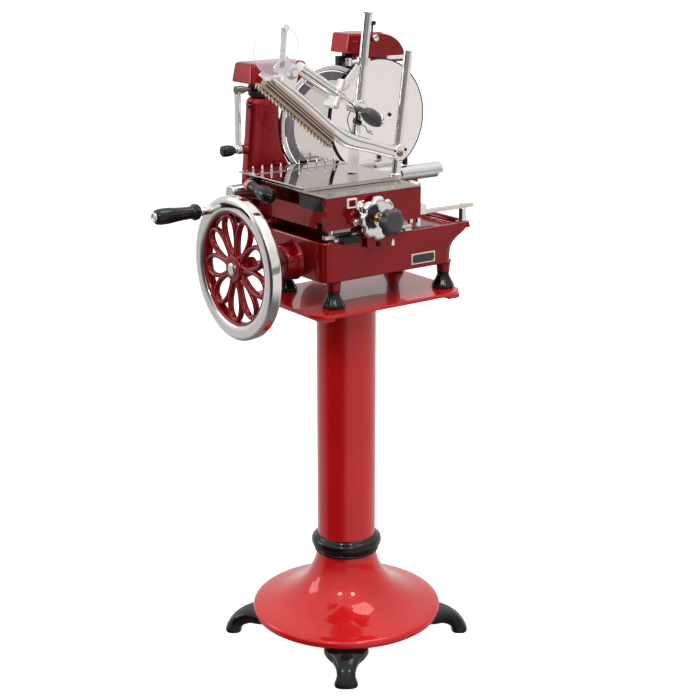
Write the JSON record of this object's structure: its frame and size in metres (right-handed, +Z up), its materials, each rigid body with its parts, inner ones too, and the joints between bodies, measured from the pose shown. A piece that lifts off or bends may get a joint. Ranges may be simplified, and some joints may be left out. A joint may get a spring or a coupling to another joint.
{
  "type": "hand cranked meat slicer",
  "caption": "Hand cranked meat slicer: flywheel, sliding carriage with meat press, round blade with guard and sharpener, on a pedestal stand.",
  "frame": {"origin": "middle of the object's bounding box at floor level", "axes": "+X along the carriage's stroke, from the flywheel towards the free end of the base; -Y towards the operator; +Z up"},
  "size_m": [0.772, 0.5288, 1.3523],
  "materials": {
    "machine_red": "gloss",
    "stand_red": "gloss",
    "black_enamel": "gloss",
    "black_plastic": "gloss",
    "chrome": "polished",
    "steel": "satin",
    "mirror_steel": "mirror",
    "aluminium": "satin",
    "polished_aluminium": "polished",
    "brass": "satin",
    "nylon": "matte",
    "clear_plastic": "clear",
    "rubber": "matte"
  },
  "bodies": {
    "frame_group": {"stand_top_plate": "stand_red", "stand_base": "stand_red", "stand_collar": "black_enamel", "stand_column": "stand_red", "base_casting": "machine_red", "bottom_cover": "black_enamel", "front_rail": "steel", "track_bar": "steel", "guide_bar": "aluminium", "drive_belt": "rubber", "drive_case": "machine_red", "guard_ring": "polished_aluminium", "neck_casting": "machine_red", "cover_disc": "mirror_steel", "neck_collar": "black_plastic", "neck_head": "machine_red", "lever_bar": "chrome", "sharpener_hood": "machine_red", "stone_holder": "black_enamel", "stand_foot_right": "black_enamel", "stand_foot_back": "black_enamel", "stand_foot_left": "black_enamel", "stand_foot_front": "black_enamel", "machine_foot_front_left": "rubber", "machine_foot_front_right": "rubber", "machine_foot_back_left": "rubber", "machine_foot_back_right": "rubber"},
    "flywheel_group": {"flywheel": "machine_red", "drive_shaft": "steel", "handle_spindle": "chrome"},
    "handle_group": {"handle_grip": "black_plastic"},
    "crank_group": {"crank_shaft": "steel"},
    "cross_group": {"cross_shaft": "steel"},
    "blade_group": {"blade": "mirror_steel", "blade_shaft": "steel"},
    "rear_knob_group": {"lever_knob": "black_plastic"},
    "stone_lever_group": {"stone_lever": "black_plastic"},
    "carriage_group": {"carriage_box": "machine_red", "carriage_top_plate": "steel", "carriage_bearing": "black_enamel", "carriage_grip": "black_plastic", "rail_guide": "chrome", "index_pawl": "chrome"},
    "rod_group": {"connecting_rod": "steel"},
    "index_group": {"index_wheel": "polished_aluminium"},
    "feed_group": {"feed_screw": "brass", "feed_knob": "black_plastic"},
    "table_group": {"product_table": "mirror_steel", "spike_row": "steel", "right_rod": "chrome", "tall_rod": "chrome", "rod_sleeve": "nylon", "tall_clamp": "chrome"},
    "press_group": {"press_arm": "polished_aluminium", "gripper_plate": "steel"},
    "guard_group": {"guard_bracket": "chrome", "guard_disc": "clear_plastic"},
    "strut_group": {"spring_strut": "chrome"},
    "clamp_knob_group": {"oval_knob": "black_plastic"},
    "link_group": {"lock_link": "chrome"}
  },
  "joints": [
    {"name": "flywheel_spin", "type": "hinge", "parent": "frame_group", "child": "flywheel_group", "pos_m": [-0.258, -0.02903, 0.869], "axis": [1, 0, 0], "continuous": true},
    {"name": "grip_spin", "type": "hinge", "parent": "flywheel_group", "child": "handle_group", "pos_m": [-0.322, 0.04827, 0.97539], "axis": [1, 0, 0], "continuous": true},
    {"name": "crank_spin", "type": "hinge", "parent": "frame_group", "child": "crank_group", "pos_m": [0.058, -0.02903, 0.869], "axis": [0, 0, 1], "continuous": true},
    {"name": "cross_spin", "type": "hinge", "parent": "frame_group", "child": "cross_group", "pos_m": [0.123, -0.02903, 0.869], "axis": [0, 1, 0], "continuous": true},
    {"name": "blade_spin", "type": "hinge", "parent": "frame_group", "child": "blade_group", "pos_m": [0.123, 0.16737, 1.1], "axis": [0, 1, 0], "continuous": true},
    {"name": "rear_knob_turn", "type": "hinge", "parent": "frame_group", "child": "rear_knob_group", "pos_m": [-0.122, 0.19087, 1.063], "axis": [1, 0, 0], "continuous": true},
    {"name": "stone_lever_turn", "type": "hinge", "parent": "frame_group", "child": "stone_lever_group", "pos_m": [0.252, 0.18937, 1.293], "axis": [0, 0, 1], "range_deg": [0, 40]},
    {"name": "carriage_slide", "type": "slide", "parent": "frame_group", "child": "carriage_group", "axis": [1, 0, 0], "range_m": [0, 0.14]},
    {"name": "rod_swing", "type": "hinge", "parent": "carriage_group", "child": "rod_group", "pos_m": [0.113, -0.02903, 0.942], "axis": [0, 0, 1], "range_deg": [-34, 34]},
    {"name": "index_turn", "type": "hinge", "parent": "carriage_group", "child": "index_group", "pos_m": [0, -0.16363, 0.963], "axis": [0, 1, 0], "range_deg": [0, 300]},
    {"name": "table_feed", "type": "slide", "parent": "carriage_group", "child": "table_group", "axis": [0, 1, 0], "range_m": [-0.075, 0]},
    {"name": "feed_turn", "type": "hinge", "parent": "carriage_group", "child": "feed_group", "pos_m": [0, -0.21163, 0.963], "axis": [0, 1, 0], "range_deg": [-2250, 0]},
    {"name": "press_lift", "type": "hinge", "parent": "table_group", "child": "press_group", "pos_m": [0.119, -0.07763, 1.072], "axis": [0, 1, 0], "range_deg": [-20, 20]},
    {"name": "guard_flip", "type": "hinge", "parent": "press_group", "child": "guard_group", "pos_m": [-0.147, -0.09063, 1.253], "axis": [0, 1, 0], "range_deg": [-35, 10]},
    {"name": "strut_swing", "type": "hinge", "parent": "table_group", "child": "strut_group", "pos_m": [0.048, -0.02463, 1.166], "axis": [0, 1, 0], "range_deg": [-10, 15]},
    {"name": "clamp_knob_turn", "type": "hinge", "parent": "table_group", "child": "clamp_knob_group", "pos_m": [0.07, -0.05363, 1.148], "axis": [0, 1, 0], "continuous": true},
    {"name": "link_swivel", "type": "hinge", "parent": "table_group", "child": "link_group", "pos_m": [0.08479, -0.00363, 1.252], "axis": [0.1172, 0, 0.9931], "range_deg": [-25, 0]}
  ],
  "couplings": [
    {"joint": "crank_spin", "follows": "flywheel_spin", "ratio": 1},
    {"joint": "cross_spin", "follows": "flywheel_spin", "ratio": 2},
    {"joint": "blade_spin", "follows": "flywheel_spin", "ratio": 3},
    {"joint": "feed_turn", "follows": "table_feed", "rad_per_m": 523.6}
  ]
}
